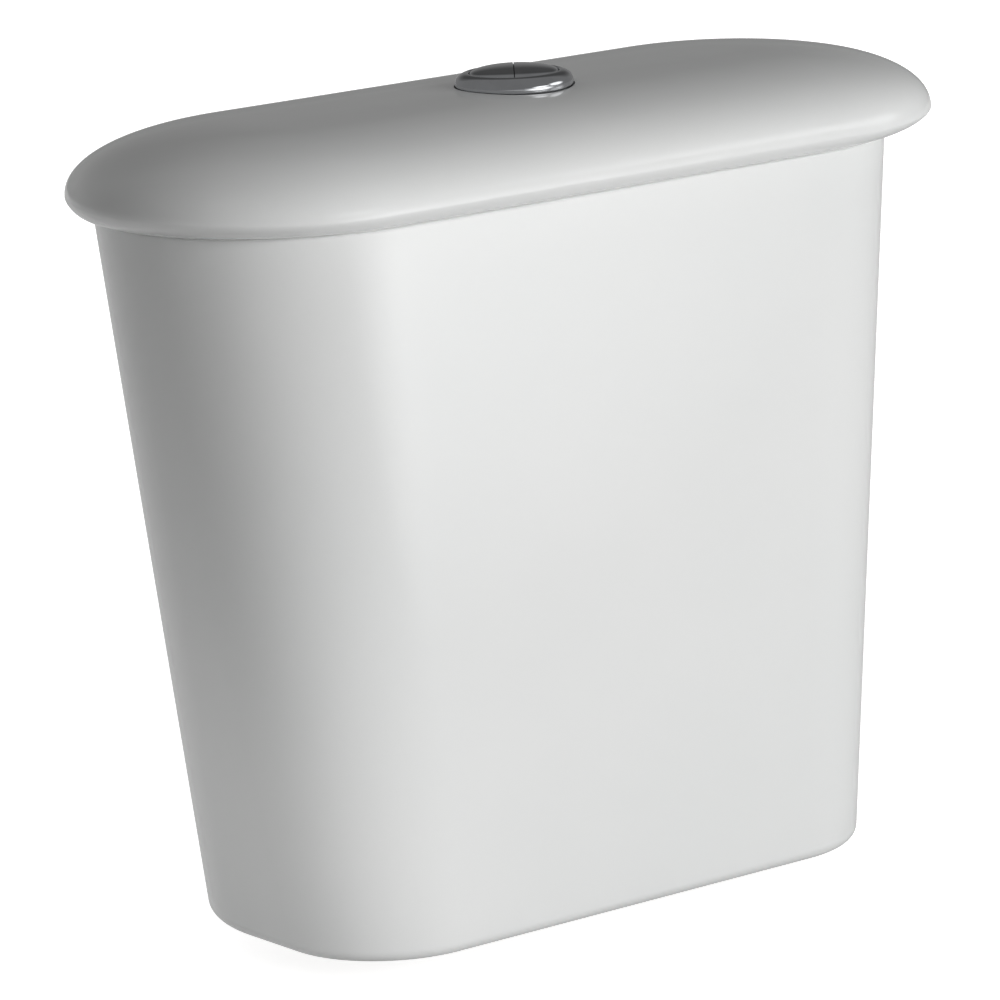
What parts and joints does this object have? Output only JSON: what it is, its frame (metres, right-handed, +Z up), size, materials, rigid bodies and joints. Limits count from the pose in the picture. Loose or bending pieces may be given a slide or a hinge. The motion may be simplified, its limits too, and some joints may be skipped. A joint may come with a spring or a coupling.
{
  "type": "toilet cistern",
  "caption": "Close-coupled ceramic toilet cistern with a tapered D-shaped tank, a domed lift-off lid, a dual flush button, a drop valve and a float fill valve.",
  "frame": {"origin": "on the axis of the flush outlet, at the plane of the foot", "axes": "+Z up, +Y towards the wall, +X to the right seen from the front"},
  "size_m": [0.4, 0.1725, 0.3524],
  "materials": {
    "glaze": "white gloss glaze over vitreous china, bare and matt on the foot",
    "plating": "bright plated",
    "white_plastic": "moulded satin",
    "blue_plastic": "moulded satin, coloured so that the moving pieces are easy to find",
    "seal_rubber": "matt",
    "stainless": "drawn wire and pin, bright"
  },
  "bodies": {
    "root": {"cistern_body": "glaze", "lid_pads": "seal_rubber", "outlet_gasket": "seal_rubber", "valve_base": "white_plastic", "outlet_backnut": "white_plastic", "valve_basket": "white_plastic", "lever_bridge": "white_plastic", "lever_pin": "stainless", "inlet_gasket": "seal_rubber", "inlet_shank": "white_plastic", "inlet_backnut": "white_plastic", "inlet_filter": "blue_plastic", "riser_tube": "white_plastic", "riser_lock_nut": "blue_plastic", "fill_valve_head": "white_plastic", "diaphragm": "seal_rubber", "fill_valve_cap": "blue_plastic", "float_lever_pin": "stainless"},
    "lid": {"cistern_lid": "glaze", "button_bezel": "plating", "bezel_seal": "seal_rubber", "button_housing": "white_plastic", "button_nut": "white_plastic", "full_spring": "stainless", "half_spring": "stainless"},
    "full_button": {"full_button": "plating", "full_plunger": "white_plastic", "full_push_rod": "white_plastic", "full_lock_nut": "white_plastic"},
    "half_button": {"half_button": "plating", "half_plunger": "white_plastic", "half_push_rod": "white_plastic", "half_lock_nut": "white_plastic"},
    "full_lever": {"full_lever": "white_plastic"},
    "half_lever": {"half_lever": "white_plastic"},
    "half_lift_sleeve": {"half_lift_sleeve": "blue_plastic"},
    "lift_tube": {"lift_tube": "blue_plastic", "outlet_seal": "seal_rubber", "seal_retainer": "blue_plastic", "flush_float": "white_plastic"},
    "fill_float": {"fill_float": "white_plastic", "float_rod": "white_plastic", "float_rod_clip": "blue_plastic"},
    "float_lever": {"float_lever": "blue_plastic"}
  },
  "joints": [
    {"name": "lid_lift", "type": "slide", "parent": "root", "child": "lid", "axis": [0, 0, 1], "range_m": [0, 0.12]},
    {"name": "full_press", "type": "slide", "parent": "lid", "child": "full_button", "axis": [0, 0, -1], "range_m": [0, 0.005], "stiffness_N_per_m": 600, "springref_m": -0.004, "deforming": ["full_spring"]},
    {"name": "half_press", "type": "slide", "parent": "lid", "child": "half_button", "axis": [0, 0, -1], "range_m": [0, 0.005], "stiffness_N_per_m": 600, "springref_m": -0.004, "deforming": ["half_spring"]},
    {"name": "full_lever_turn", "type": "hinge", "parent": "root", "child": "full_lever", "pos_m": [0, 0, 0.252], "axis": [0, 1, 0], "range_deg": [0, 26.2]},
    {"name": "half_lever_turn", "type": "hinge", "parent": "root", "child": "half_lever", "pos_m": [0, 0, 0.252], "axis": [0, -1, 0], "range_deg": [0, 26.2]},
    {"name": "half_lift", "type": "slide", "parent": "root", "child": "half_lift_sleeve", "axis": [0, 0, 1], "range_m": [0, 0.0114]},
    {"name": "full_lift", "type": "slide", "parent": "half_lift_sleeve", "child": "lift_tube", "axis": [0, 0, 1], "range_m": [0, 0.0114]},
    {"name": "float_rise", "type": "slide", "parent": "root", "child": "fill_float", "axis": [0, 0, 1], "range_m": [0, 0.0086]},
    {"name": "float_lever_turn", "type": "hinge", "parent": "root", "child": "float_lever", "pos_m": [-0.094, 0.03, 0.282], "axis": [0, -1, 0], "range_deg": [0, 20]}
  ],
  "couplings": [
    {"joint": "full_lever_turn", "follows": "full_press", "rad_per_m": 90.909},
    {"joint": "half_lever_turn", "follows": "half_press", "rad_per_m": 90.909},
    {"joint": "full_lift", "follows": "full_press", "ratio": 2.28},
    {"joint": "half_lift", "follows": "half_press", "ratio": 2.28},
    {"joint": "float_lever_turn", "follows": "float_rise", "rad_per_m": 40.2}
  ]
}
